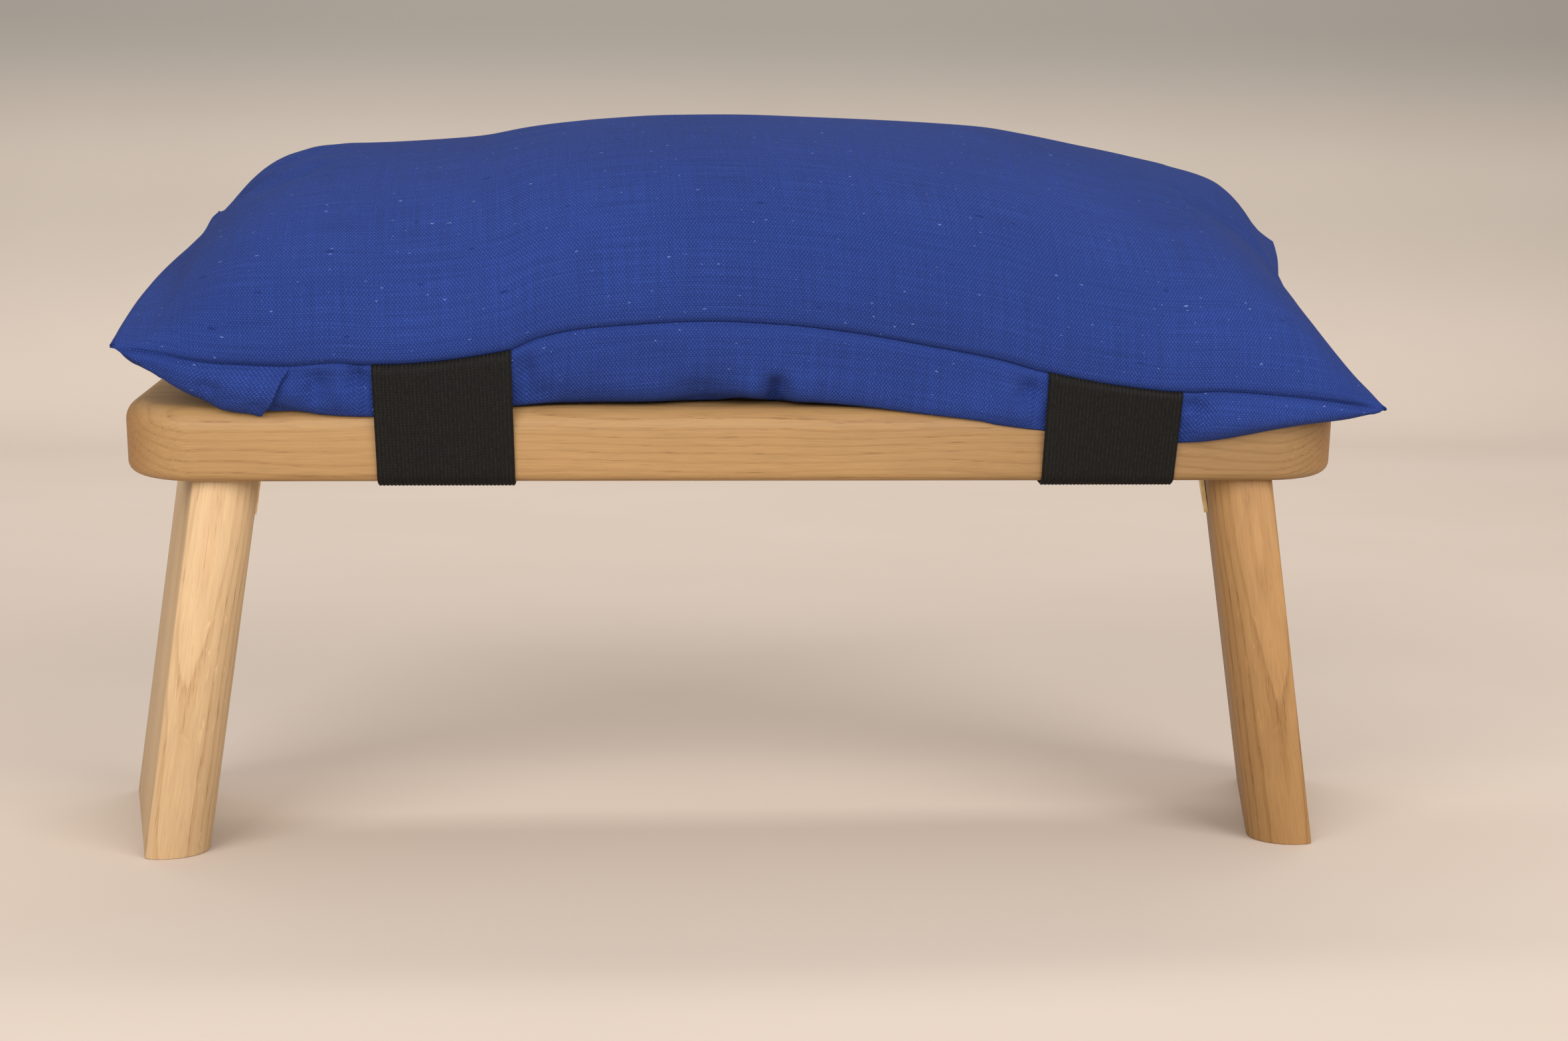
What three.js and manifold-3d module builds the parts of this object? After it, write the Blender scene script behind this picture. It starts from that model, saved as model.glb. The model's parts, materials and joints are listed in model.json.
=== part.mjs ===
// Folding kneeling bench: an oak seat board on two splayed legs that fold flat under it on
// brass butt hinges, with a canvas cushion held on the board by two elastic straps.
//
// Millimetres. +X runs along the bench to the sitter's right as seen from the front, +Y runs
// from front to back and +Z is up. The origin is on the floor, under the middle of the bench.
// The sitter faces the front, and the seat board slopes down towards it.

import * as THREE from "three";
import { mergeVertices } from "three/addons/utils/BufferGeometryUtils.js";
import Module from "manifold-3d";

const wasm = await Module();
wasm.setup();

// ---------------------------------------------------------------- driving dimensions

const GAP = 0.3; // clearance kept between touching pieces
const DEGREE = Math.PI / 180;

// seat board
const SEAT_LENGTH = 457;
const SEAT_DEPTH = 152;
const SEAT_THICKNESS = 27;
const SEAT_CORNER_RADIUS = 30;
const SEAT_TOP_ROUND = 8;
const SEAT_BOTTOM_ROUND = 4;
const SEAT_SLOPE = 6.5 * DEGREE;
const SEAT_FRONT_HEIGHT = 145; // floor to the lower front edge of the board

// legs
const LEG_THICKNESS = 24.5;
const LEG_DEPTH = 108;
const LEG_NOSE_RADIUS = 15; // rounds the front and back edges into the inner face
const LEG_SETBACK = 11; // board front to the outer front arris of the leg
const LEG_OUTER_X = 202; // board middle to the outer face of the leg, at its front
const LEG_SPLAY = 9.5 * DEGREE;
const LEG_TOE_OUT = 12.5 * DEGREE; // each hinge line turns outwards towards the back

// hinges
const HINGE_LENGTH = 64;
const HINGE_LEAF_WIDTH = 18; // pin axis to the free edge of a leaf
const HINGE_LEAF_THICKNESS = 1.5;
const HINGE_OFFSET = 3; // pin axis to the face that a leaf is screwed to
const HINGE_PIN_RADIUS = 1.5;
const HINGE_KNUCKLES = 5;
const KNUCKLE_RADIUS = HINGE_OFFSET - GAP;

// hinge screws, two near the free edge of each leaf and one nearer the pin
const SCREW_HEAD_RADIUS = 3.2;
const SCREW_SHANK_RADIUS = 1.7;
const SCREW_LENGTH = 16;
const SCREW_POINT_LENGTH = 3;
const SCREW_SLOT_WIDTH = 0.9;
const SCREW_SLOT_DEPTH = 0.7;
const SCREW_SIDES = 12;
const SCREW_PLACES = [
  { name: "front", along: -22, across: 12.5 },
  { name: "middle", along: 0, across: 9 },
  { name: "rear", along: 22, across: 12.5 },
];

// straps
const STRAP_WIDTH = 50;
const STRAP_THICKNESS = 1.5;
const STRAP_LEFT_X = -107;
const STRAP_RIGHT_X = 135;
const STRAP_FAR_U = 0.66; // share of the cushion's half length that the straps reach out to

// cushion
const CUSHION_LENGTH = 465;
const CUSHION_DEPTH = 188;
const CUSHION_X = 8; // the cushion sits a little off the middle of the board
const CUSHION_Y = 88;
const CUSHION_RISE = 102; // board top to the crown of the cushion
const CUSHION_SIDE_PULL = 0.05; // how much the long and short sides pull in at their middles
const SEAM_HEIGHT_FRONT = 22; // seam above the board top
const SEAM_HEIGHT_BACK = 46;
const CUSHION_BELLY = 40; // seam down to the underside, where the board leaves it free
const CLOTH = 1.2;
const CLOTH_GAP = 0.5;
const SEAM_HALF = CLOTH + GAP;
const CUSHION_CELLS_LONG = 20;
const CUSHION_CELLS_DEEP = 10;
const FLAP_CELLS = 6; // cells of the underside taken by the end flap

// ---------------------------------------------------------------- materials

function material(color, roughness, metalness) {
  return new THREE.MeshStandardMaterial({ color, roughness, metalness });
}

const oakSeat = () => material(0xc59a66, 0.55, 0);
const oakLeg = () => material(0xd6ae7c, 0.55, 0);
const brass = () => material(0xc9a552, 0.3, 1);
const elastic = () => material(0x141414, 0.85, 0);
const blueCanvas = () => material(0x2b479c, 0.9, 0);
const wadding = () => material(0xe6e0d0, 1, 0);

// ---------------------------------------------------------------- solids and booleans

function toSolid(geometry) {
  const bare = geometry.clone();
  bare.deleteAttribute("normal");
  bare.deleteAttribute("uv");
  const merged = mergeVertices(bare, 1e-4);
  const mesh = new wasm.Mesh({
    numProp: 3,
    vertProperties: new Float32Array(merged.attributes.position.array),
    triVerts: new Uint32Array(merged.index.array),
  });
  return new wasm.Manifold(mesh);
}

function toGeometry(solid) {
  const mesh = solid.getMesh();
  return closedGeometry(Array.from(mesh.vertProperties), Array.from(mesh.triVerts));
}

function closedGeometry(positions, triangles) {
  const geometry = new THREE.BufferGeometry();
  geometry.setAttribute("position", new THREE.Float32BufferAttribute(positions, 3));
  geometry.setIndex(triangles);
  geometry.computeVertexNormals();
  return geometry;
}

function cut(geometry, cutters) {
  let solid = toSolid(geometry);
  for (const cutter of cutters) {
    solid = solid.subtract(toSolid(cutter));
  }
  return toGeometry(solid);
}

function join(geometries) {
  let solid = toSolid(geometries[0]);
  for (const other of geometries.slice(1)) {
    solid = solid.add(toSolid(other));
  }
  return toGeometry(solid);
}

// Joins rings of equally many points, each a list of Vector3 seen anticlockwise from above and
// given from the lowest ring to the highest, and closes the lowest and highest with flat caps.
function loftRings(rings) {
  const count = rings[0].length;
  const positions = rings.flat().flatMap((point) => [point.x, point.y, point.z]);
  const triangles = [];
  for (let ring = 0; ring + 1 < rings.length; ring += 1) {
    for (let i = 0; i < count; i += 1) {
      const next = (i + 1) % count;
      const a = ring * count + i;
      const b = ring * count + next;
      triangles.push(a, b, b + count, a, b + count, a + count);
    }
  }
  const outline = rings[0].map((point) => new THREE.Vector2(point.x, point.y));
  const top = (rings.length - 1) * count;
  for (const [a, b, c] of THREE.ShapeUtils.triangulateShape(outline, [])) {
    triangles.push(c, b, a);
    triangles.push(top + a, top + b, top + c);
  }
  return closedGeometry(positions, triangles);
}

function arcPoints(centreX, centreY, radius, from, to, steps) {
  const points = [];
  for (let i = 0; i <= steps; i += 1) {
    const angle = from + ((to - from) * i) / steps;
    points.push([centreX + radius * Math.cos(angle), centreY + radius * Math.sin(angle)]);
  }
  return points;
}

function cylinderAlongY(radius, fromY, toY, sides) {
  const geometry = new THREE.CylinderGeometry(radius, radius, toY - fromY, sides);
  return geometry.translate(0, (fromY + toY) / 2, 0);
}

function boxBetween(low, high) {
  const size = high.map((value, axis) => value - low[axis]);
  const middle = high.map((value, axis) => (value + low[axis]) / 2);
  return new THREE.BoxGeometry(...size).translate(...middle);
}

// ---------------------------------------------------------------- seat board

function seatOutline(inset) {
  const halfLength = SEAT_LENGTH / 2 - SEAT_CORNER_RADIUS;
  const front = SEAT_CORNER_RADIUS;
  const back = SEAT_DEPTH - SEAT_CORNER_RADIUS;
  const radius = SEAT_CORNER_RADIUS - inset;
  const steps = 7;
  const quarter = Math.PI / 2;
  return [
    ...arcPoints(halfLength, front, radius, -quarter, 0, steps),
    ...arcPoints(halfLength, back, radius, 0, quarter, steps),
    ...arcPoints(-halfLength, back, radius, quarter, 2 * quarter, steps),
    ...arcPoints(-halfLength, front, radius, 2 * quarter, 3 * quarter, steps),
  ];
}

function seatBoardGeometry() {
  const rings = [];
  const addRound = (radius, centreHeight, from, steps) => {
    for (let i = 0; i <= steps; i += 1) {
      const angle = from + (Math.PI / 2) * (i / steps);
      const inset = radius * (1 - Math.cos(angle));
      const height = centreHeight + radius * Math.sin(angle);
      rings.push(seatOutline(inset).map(([x, y]) => new THREE.Vector3(x, y, height)));
    }
  };
  addRound(SEAT_BOTTOM_ROUND, SEAT_BOTTOM_ROUND, -Math.PI / 2, 3);
  addRound(SEAT_TOP_ROUND, SEAT_THICKNESS - SEAT_TOP_ROUND, 0, 4);
  return loftRings(rings);
}

// ---------------------------------------------------------------- legs

// The leg's section, as distances from its outer face and from its outer front arris. The
// front and back edges are arcs that start at the outer arrises and run into the inner face.
function legSection() {
  const centreAcross = LEG_THICKNESS - LEG_NOSE_RADIUS;
  const centreBack = Math.sqrt(LEG_NOSE_RADIUS ** 2 - centreAcross ** 2);
  const start = Math.atan2(-centreBack, -centreAcross) + 2 * Math.PI;
  const steps = 9;
  const front = arcPoints(centreAcross, centreBack, LEG_NOSE_RADIUS, start, 2 * Math.PI, steps);
  const back = front.map(([across, along]) => [across, LEG_DEPTH - along]).reverse();
  return [...front, ...back];
}

function heightOnPlane(plane, x, y) {
  return -(plane.normal.x * x + plane.normal.y * y + plane.constant) / plane.normal.z;
}

// The leg stands in its own leaf frame: the pin axis is Y, Z runs up the leg, and side times X
// points outwards. It ends on the underside of the board and on the floor.
function legGeometry(side, legFrame) {
  const intoLeg = legFrame.matrixWorld.clone().invert();
  const floor = new THREE.Plane(new THREE.Vector3(0, 0, 1), 0);
  const underside = new THREE.Plane(new THREE.Vector3(0, 0, 1), GAP);
  floor.applyMatrix4(intoLeg);
  underside.applyMatrix4(seatFrame.matrixWorld).applyMatrix4(intoLeg);
  const outline = legSection().map(([across, along]) => {
    const x = side * (HINGE_OFFSET + LEG_THICKNESS - across);
    return [x, along];
  });
  if (side > 0) {
    outline.reverse();
  }
  const endRing = (plane) =>
    outline.map(([x, y]) => new THREE.Vector3(x, y, heightOnPlane(plane, x, y)));
  return loftRings([endRing(floor), endRing(underside)]);
}

// ---------------------------------------------------------------- hinges and screws

// A leaf lies along +X from the pin axis (Y), with its back face at +HINGE_OFFSET - GAP in Z.
// Knuckles alternate between the two leaves: even ones belong to the seat leaf.
function hingeLeafGeometry(firstKnuckle) {
  const halfLength = HINGE_LENGTH / 2;
  const knuckleLength = HINGE_LENGTH / HINGE_KNUCKLES;
  const backFace = HINGE_OFFSET - GAP;
  const frontFace = backFace - HINGE_LEAF_THICKNESS;
  const pieces = [
    boxBetween([0, -halfLength, frontFace], [HINGE_LEAF_WIDTH, halfLength, backFace]),
  ];
  const cutters = [];
  for (let i = 0; i < HINGE_KNUCKLES; i += 1) {
    const start = -halfLength + i * knuckleLength;
    const end = start + knuckleLength;
    const isOwn = i % 2 === firstKnuckle;
    if (isOwn) {
      pieces.push(cylinderAlongY(KNUCKLE_RADIUS, start + GAP / 2, end - GAP / 2, 20));
    } else {
      const reach = KNUCKLE_RADIUS + 2 * GAP;
      const low = [-reach, start - GAP / 2, -reach];
      const high = [reach, end + GAP / 2, reach];
      cutters.push(boxBetween(low, high));
    }
  }
  const outsideEnd = halfLength + 1;
  cutters.push(cylinderAlongY(HINGE_PIN_RADIUS + GAP, -outsideEnd, outsideEnd, 16));
  for (const place of SCREW_PLACES) {
    cutters.push(screwSeat().translate(place.across, place.along, frontFace));
  }
  return cut(join(pieces), cutters);
}

// The countersunk hole that a screw needs, opening at Z = 0 and running to +Z.
function screwSeat() {
  const headDepth = SCREW_HEAD_RADIUS - SCREW_SHANK_RADIUS;
  const profile = [
    new THREE.Vector2(0, -1),
    new THREE.Vector2(SCREW_HEAD_RADIUS + GAP + 1, -1),
    new THREE.Vector2(SCREW_SHANK_RADIUS + GAP, headDepth),
    new THREE.Vector2(SCREW_SHANK_RADIUS + GAP, SCREW_LENGTH + GAP),
    new THREE.Vector2(0, SCREW_LENGTH + GAP),
  ];
  return latheAlongZ(profile);
}

// A slotted countersunk wood screw, its head flush with Z = 0 and its point towards +Z.
function screwGeometry() {
  const headDepth = SCREW_HEAD_RADIUS - SCREW_SHANK_RADIUS;
  const profile = [
    new THREE.Vector2(0, 0),
    new THREE.Vector2(SCREW_HEAD_RADIUS, 0),
    new THREE.Vector2(SCREW_SHANK_RADIUS, headDepth),
    new THREE.Vector2(SCREW_SHANK_RADIUS, SCREW_LENGTH - SCREW_POINT_LENGTH),
    new THREE.Vector2(0, SCREW_LENGTH),
  ];
  const slot = boxBetween(
    [-SCREW_HEAD_RADIUS - 1, -SCREW_SLOT_WIDTH / 2, -1],
    [SCREW_HEAD_RADIUS + 1, SCREW_SLOT_WIDTH / 2, SCREW_SLOT_DEPTH],
  );
  return cut(latheAlongZ(profile), [slot]);
}

function latheAlongZ(profile) {
  return new THREE.LatheGeometry(profile, SCREW_SIDES).rotateX(Math.PI / 2);
}

function screwHole(across, along) {
  const hole = new THREE.CylinderGeometry(
    SCREW_SHANK_RADIUS + GAP,
    SCREW_SHANK_RADIUS + GAP,
    SCREW_LENGTH,
    SCREW_SIDES,
  );
  const backFace = HINGE_OFFSET - GAP;
  const middle = backFace - HINGE_LEAF_THICKNESS + GAP + SCREW_LENGTH / 2;
  return hole.rotateX(Math.PI / 2).translate(across, along, middle);
}

// ---------------------------------------------------------------- straps

function strapGeometry() {
  const outer = SEAT_BOTTOM_ROUND + GAP + STRAP_THICKNESS;
  const inner = SEAT_BOTTOM_ROUND + GAP;
  const round = SEAT_BOTTOM_ROUND;
  const back = SEAT_DEPTH - round;
  const steps = 6;
  const frontEndHeight = SEAT_THICKNESS + SEAM_HEIGHT_FRONT - SEAM_HALF - GAP;
  const backEndHeight = SEAT_THICKNESS + SEAM_HEIGHT_BACK - SEAM_HALF - GAP;
  const pull = 1 - CUSHION_SIDE_PULL * (1 - STRAP_FAR_U ** 2);
  const halfDepth = (CUSHION_DEPTH / 2) * pull + GAP;
  const frontEndY = CUSHION_Y - halfDepth;
  const backEndY = CUSHION_Y + halfDepth;
  const rise = Math.atan2(backEndHeight - round, backEndY - SEAT_DEPTH);
  const lean = Math.PI / 2 - rise;
  const bend = (radius) => [
    ...arcPoints(round, round, radius, Math.PI, 1.5 * Math.PI, steps),
    ...arcPoints(back, round, radius, 1.5 * Math.PI, 2 * Math.PI - lean, steps),
  ];
  const outerPath = [
    [frontEndY - STRAP_THICKNESS, frontEndHeight],
    ...bend(outer),
    [backEndY + STRAP_THICKNESS / Math.sin(rise), backEndHeight],
  ];
  const innerPath = [
    [frontEndY, frontEndHeight],
    ...bend(inner),
    [backEndY, backEndHeight],
  ];
  const shape = new THREE.Shape();
  const loop = [...outerPath, ...innerPath.reverse()];
  shape.setFromPoints(loop.map(([y, z]) => new THREE.Vector2(y, z)));
  const settings = { depth: STRAP_WIDTH, bevelEnabled: false, steps: 1 };
  const band = new THREE.ExtrudeGeometry(shape, settings);
  band.translate(0, 0, -STRAP_WIDTH / 2);
  const turn = new THREE.Matrix4().makeBasis(
    new THREE.Vector3(0, 1, 0),
    new THREE.Vector3(0, 0, 1),
    new THREE.Vector3(1, 0, 0),
  );
  return band.applyMatrix4(turn);
}

// ---------------------------------------------------------------- cushion

// A point of the cushion for u along and v across, both from -1 to 1: its place in plan and
// the heights of the outer faces of the top and the underside.
function cushionPoint(u, v) {
  const pullLong = 1 - CUSHION_SIDE_PULL * (1 - v * v);
  const pullDeep = 1 - CUSHION_SIDE_PULL * (1 - u * u);
  const swell = (1 - Math.abs(u) ** 3) ** 0.6 * (1 - Math.abs(v) ** 2.5) ** 0.6;
  const seamFront = SEAT_THICKNESS + SEAM_HEIGHT_FRONT;
  const seamRise = SEAM_HEIGHT_BACK - SEAM_HEIGHT_FRONT;
  const seam = seamFront + (seamRise * (v + 1)) / 2;
  const crown = SEAT_THICKNESS + CUSHION_RISE - (seamFront + seamRise / 2) - SEAM_HALF;
  return {
    x: CUSHION_X + (CUSHION_LENGTH / 2) * u * pullLong,
    y: CUSHION_Y + (CUSHION_DEPTH / 2) * v * pullDeep,
    top: seam + SEAM_HALF + crown * swell,
    bottom: Math.max(SEAT_THICKNESS + CLOTH_GAP, seam - SEAM_HALF - CUSHION_BELLY * swell),
  };
}

// A closed layer over the grid cells from one column and row to another. The grid is finer
// towards the seams. Faces gives the layer's lower and upper height at a cushion point.
function cushionLayer(columns, rows, faces, shift = () => 0) {
  const spread = (i, cells) => Math.sin((Math.PI / 2) * ((2 * i) / cells - 1));
  const upper = [];
  const lower = [];
  for (let row = rows[0]; row <= rows[1]; row += 1) {
    for (let column = columns[0]; column <= columns[1]; column += 1) {
      const u = spread(column, CUSHION_CELLS_LONG);
      const v = spread(row, CUSHION_CELLS_DEEP);
      const point = cushionPoint(u, v);
      const [low, high] = faces(point);
      const x = point.x + shift(column);
      lower.push(x, point.y, low);
      upper.push(x, point.y, high);
    }
  }
  const across = columns[1] - columns[0] + 1;
  const deep = rows[1] - rows[0] + 1;
  const count = across * deep;
  const triangles = [];
  for (let row = 0; row + 1 < deep; row += 1) {
    for (let column = 0; column + 1 < across; column += 1) {
      const a = row * across + column;
      const b = a + 1;
      const c = a + across;
      const d = c + 1;
      triangles.push(a, d, b, a, c, d);
      triangles.push(count + a, count + b, count + d, count + a, count + d, count + c);
    }
  }
  const rim = [];
  for (let column = 0; column < across - 1; column += 1) rim.push(column);
  for (let row = 0; row < deep - 1; row += 1) rim.push(row * across + across - 1);
  for (let column = across - 1; column > 0; column -= 1) rim.push((deep - 1) * across + column);
  for (let row = deep - 1; row > 0; row -= 1) rim.push(row * across);
  rim.forEach((a, i) => {
    const b = rim[(i + 1) % rim.length];
    triangles.push(a, b, count + b, a, count + b, count + a);
  });
  return closedGeometry([...lower, ...upper], triangles);
}

function cushionPieces() {
  const long = [0, CUSHION_CELLS_LONG];
  const deep = [0, CUSHION_CELLS_DEEP];
  const under = (point) => [point.bottom, point.bottom + CLOTH];
  const filled = (point) => [
    point.bottom + CLOTH + CLOTH_GAP,
    point.top - CLOTH - CLOTH_GAP,
  ];
  const openEdge = (direction) => (column) => (column === FLAP_CELLS ? direction * GAP : 0);
  return {
    cushion_top_panel: cushionLayer(long, deep, (point) => [point.top - CLOTH, point.top]),
    cushion_base_panel: cushionLayer([FLAP_CELLS, long[1]], deep, under, openEdge(1)),
    cushion_end_flap: cushionLayer([0, FLAP_CELLS], deep, under, openEdge(-1)),
    cushion_filling: cushionLayer([1, long[1] - 1], [1, deep[1] - 1], filled),
  };
}

// ---------------------------------------------------------------- assembly

function addMesh(parent, name, geometry, surface) {
  const mesh = new THREE.Mesh(geometry, surface);
  mesh.name = name;
  parent.add(mesh);
  return mesh;
}

const bench = new THREE.Group();
const seatFrame = new THREE.Group();
bench.add(seatFrame);
seatFrame.position.set(0, 0, SEAT_FRONT_HEIGHT);
seatFrame.rotation.x = SEAT_SLOPE;
bench.updateMatrixWorld(true);

// The pin axis of one hinge: a frame on the underside of the board, Y along the pin. The
// frame's origin is level with the outer front arris of the leg.
function makeHingeFrame(side) {
  const frame = new THREE.Group();
  const arris = new THREE.Vector3(side * LEG_OUTER_X, LEG_SETBACK, 0);
  const outwards = new THREE.Vector3(side, 0, 0).applyAxisAngle(
    new THREE.Vector3(0, 0, 1),
    -side * LEG_TOE_OUT,
  );
  const reach = (HINGE_OFFSET + LEG_THICKNESS) / Math.cos(LEG_SPLAY);
  const drop = HINGE_OFFSET * Math.tan(LEG_SPLAY);
  frame.position.copy(arris).addScaledVector(outwards, drop - reach);
  frame.position.z = -HINGE_OFFSET;
  frame.rotation.z = -side * LEG_TOE_OUT;
  seatFrame.add(frame);
  return frame;
}

// Turns a leaf so that it lies against the face it is screwed to: the seat leaf under the
// board and pointing inwards, and the leg leaf down the inner face of the leg.
function leafPlacement(side, isSeatLeaf) {
  const up = new THREE.Vector3(0, 0, 1);
  const out = new THREE.Vector3(side, 0, 0);
  const along = isSeatLeaf ? out.clone().negate() : up.clone().negate();
  const towardsWood = isSeatLeaf ? up : out;
  const pin = new THREE.Vector3().crossVectors(towardsWood, along);
  const placement = new THREE.Matrix4().makeBasis(along, pin, towardsWood);
  placement.setPosition(0, LEG_DEPTH / 2, 0);
  return placement;
}

function addScrews(parent, prefix, placement) {
  const headFace = HINGE_OFFSET - GAP - HINGE_LEAF_THICKNESS + GAP / 3;
  for (const place of SCREW_PLACES) {
    const screw = screwGeometry().translate(place.across, place.along, headFace);
    addMesh(parent, `${prefix}_screw_${place.name}`, screw.applyMatrix4(placement), brass());
  }
}

const seatHoles = [];

function addLegAndHinge(sideName, side) {
  const hingeFrame = makeHingeFrame(side);
  const legFrame = new THREE.Group();
  legFrame.rotation.y = -side * LEG_SPLAY;
  hingeFrame.add(legFrame);
  bench.updateMatrixWorld(true);

  const onSeat = leafPlacement(side, true);
  const onLeg = leafPlacement(side, false);
  const holes = SCREW_PLACES.map((place) => screwHole(place.across, place.along));
  const legHoles = holes.map((hole) => hole.clone().applyMatrix4(onLeg));
  const intoSeat = seatFrame.matrixWorld.clone().invert().multiply(hingeFrame.matrixWorld);
  for (const hole of holes) {
    seatHoles.push(hole.clone().applyMatrix4(onSeat).applyMatrix4(intoSeat));
  }

  addMesh(legFrame, `${sideName}_leg`, cut(legGeometry(side, legFrame), legHoles), oakLeg());
  const legLeaf = hingeLeafGeometry(1).applyMatrix4(onLeg);
  addMesh(legFrame, `${sideName}_hinge_leg_leaf`, legLeaf, brass());
  addScrews(legFrame, `${sideName}_leg`, onLeg);

  const seatLeaf = hingeLeafGeometry(0).applyMatrix4(onSeat);
  addMesh(hingeFrame, `${sideName}_hinge_seat_leaf`, seatLeaf, brass());
  addScrews(hingeFrame, `${sideName}_seat`, onSeat);
  const pinEnds = [(LEG_DEPTH - HINGE_LENGTH) / 2, (LEG_DEPTH + HINGE_LENGTH) / 2];
  const pin = cylinderAlongY(HINGE_PIN_RADIUS, pinEnds[0], pinEnds[1], 16);
  addMesh(hingeFrame, `${sideName}_hinge_pin`, pin, brass());
}

addLegAndHinge("left", -1);
addLegAndHinge("right", 1);
addMesh(seatFrame, "seat_board", cut(seatBoardGeometry(), seatHoles), oakSeat());

for (const [name, x] of [["left_strap", STRAP_LEFT_X], ["right_strap", STRAP_RIGHT_X]]) {
  addMesh(seatFrame, name, strapGeometry(), elastic()).position.x = x;
}

for (const [name, geometry] of Object.entries(cushionPieces())) {
  const surface = name === "cushion_filling" ? wadding() : blueCanvas();
  addMesh(seatFrame, name, geometry, surface);
}

// Stand the bench on the floor with the middle of its plan at the origin.
bench.updateMatrixWorld(true);
const extent = new THREE.Box3().setFromObject(bench, true);
const middle = extent.getCenter(new THREE.Vector3());
bench.position.set(-middle.x, -middle.y, -extent.min.z);
bench.updateMatrixWorld(true);

export default bench;
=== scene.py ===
"""Looks of the folding kneeling bench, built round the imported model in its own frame."""

import json
import math

import bmesh
import bpy
import numpy as np
from mathutils import Matrix, Vector


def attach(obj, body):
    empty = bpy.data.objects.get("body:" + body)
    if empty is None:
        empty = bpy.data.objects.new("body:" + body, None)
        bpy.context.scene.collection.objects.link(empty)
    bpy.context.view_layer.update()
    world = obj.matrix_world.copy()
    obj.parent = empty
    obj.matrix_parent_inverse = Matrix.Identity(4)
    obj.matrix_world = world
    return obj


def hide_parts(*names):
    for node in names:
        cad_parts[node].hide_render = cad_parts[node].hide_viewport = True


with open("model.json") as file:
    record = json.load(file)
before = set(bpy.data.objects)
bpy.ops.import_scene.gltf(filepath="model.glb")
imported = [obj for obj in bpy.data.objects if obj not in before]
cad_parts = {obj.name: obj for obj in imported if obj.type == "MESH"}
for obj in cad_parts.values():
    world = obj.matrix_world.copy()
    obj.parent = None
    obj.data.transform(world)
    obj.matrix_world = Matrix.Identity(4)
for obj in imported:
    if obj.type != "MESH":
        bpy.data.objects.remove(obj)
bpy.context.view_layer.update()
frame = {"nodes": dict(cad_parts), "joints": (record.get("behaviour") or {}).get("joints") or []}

# Sizes of the wood, the cushion and the straps are in millimetres, in the seat frame.
MM = 0.001
SIDES = ("left", "right")

# -------- the seat and leg frames


def vertex_rows(piece, what="co"):
    """The places of a piece's vertices in metres, or their normals, as rows of a matrix."""
    flat = np.empty(len(piece.data.vertices) * 3)
    piece.data.vertices.foreach_get(what, flat)
    return flat.reshape(-1, 3)


def seat_frame():
    """The lower front middle of the seat board, and rows that point along its length, depth
    and thickness."""
    points = np.unique(vertex_rows(frame["nodes"]["seat_board"]).round(6), axis=0)
    spread = np.cov((points - points.mean(0))[:, 1:].T)
    _, directions = np.linalg.eigh(spread)
    thin, deep = directions[:, 0], directions[:, 1]
    deep = deep * np.sign(deep[0])
    thin = thin * np.sign(thin[1])
    axes = np.array([[1, 0, 0], [0, *deep], [0, *thin]])
    local = points @ axes.T
    low, high = local.min(0), local.max(0)
    origin = np.array([(low[0] + high[0]) / 2, low[1], low[2]]) @ axes
    return origin, axes, (high - low) / MM


SEAT_ORIGIN, SEAT_AXES, SEAT_SIZE = seat_frame()
SEAT_LENGTH, SEAT_DEPTH, SEAT_THICKNESS = SEAT_SIZE


def from_seat(points):
    """Points in millimetres in the seat frame, as points in metres in the row frame."""
    return SEAT_ORIGIN + np.asarray(points, float) * MM @ SEAT_AXES


def leg_frame(side):
    """The pin axis at the leg's front, and rows that point from the pin to the outer face,
    back along the pin, and up the leg."""
    joint = next(j for j in frame["joints"] if j["name"] == f"{side}_leg_fold")
    back = np.array(joint["axis"]) * np.sign(joint["axis"][1])
    back /= np.linalg.norm(back)
    areas = {}
    for face in frame["nodes"][f"{side}_leg"].data.polygons:
        key = tuple(round(value, 2) for value in face.normal)
        total, normal = areas.get(key, (0, np.array(face.normal)))
        areas[key] = (total + face.area, normal)
    outward = max(areas.values(), key=lambda entry: entry[0])[1]
    outward -= back * (outward @ back)
    outward /= np.linalg.norm(outward)
    up = np.cross(outward, back)
    up *= np.sign(up[2])
    return np.array(joint["pos_m"]), np.array([outward, back, up])


# -------- mesh helpers

WOOD_ANGLE = 40  # degrees between faces from which an edge of the wood is drawn sharp
STRAP_ANGLE = 60
HARD_ANGLE = 30  # degrees from which an edge of a leg is beveled


def curve(stations):
    """A smooth function through (place, value) stations that doesn't overshoot them."""
    places, values = (np.array(column, float) for column in zip(*stations))
    steps, rises = np.diff(places), np.diff(values)
    secants = rises / steps
    slopes = np.zeros(len(places))
    for i in range(1, len(places) - 1):
        before, after = secants[i - 1], secants[i]
        if before * after > 0:
            w1 = 2 * steps[i] + steps[i - 1]
            w2 = steps[i] + 2 * steps[i - 1]
            slopes[i] = (w1 + w2) / (w1 / before + w2 / after)
    slopes[0], slopes[-1] = secants[0], secants[-1]

    def at(where):
        where = np.clip(np.asarray(where, float), places[0], places[-1])
        i = np.clip(np.searchsorted(places, where, "right") - 1, 0, len(steps) - 1)
        t = (where - places[i]) / steps[i]
        return (
            values[i] * (1 + 2 * t) * (1 - t) ** 2
            + slopes[i] * steps[i] * t * (1 - t) ** 2
            + values[i + 1] * t * t * (3 - 2 * t)
            + slopes[i + 1] * steps[i] * t * t * (t - 1)
        )

    return at


def smoothstep(low, high, value):
    t = np.clip((value - low) / (high - low), 0, 1)
    return t * t * (3 - 2 * t)


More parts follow.
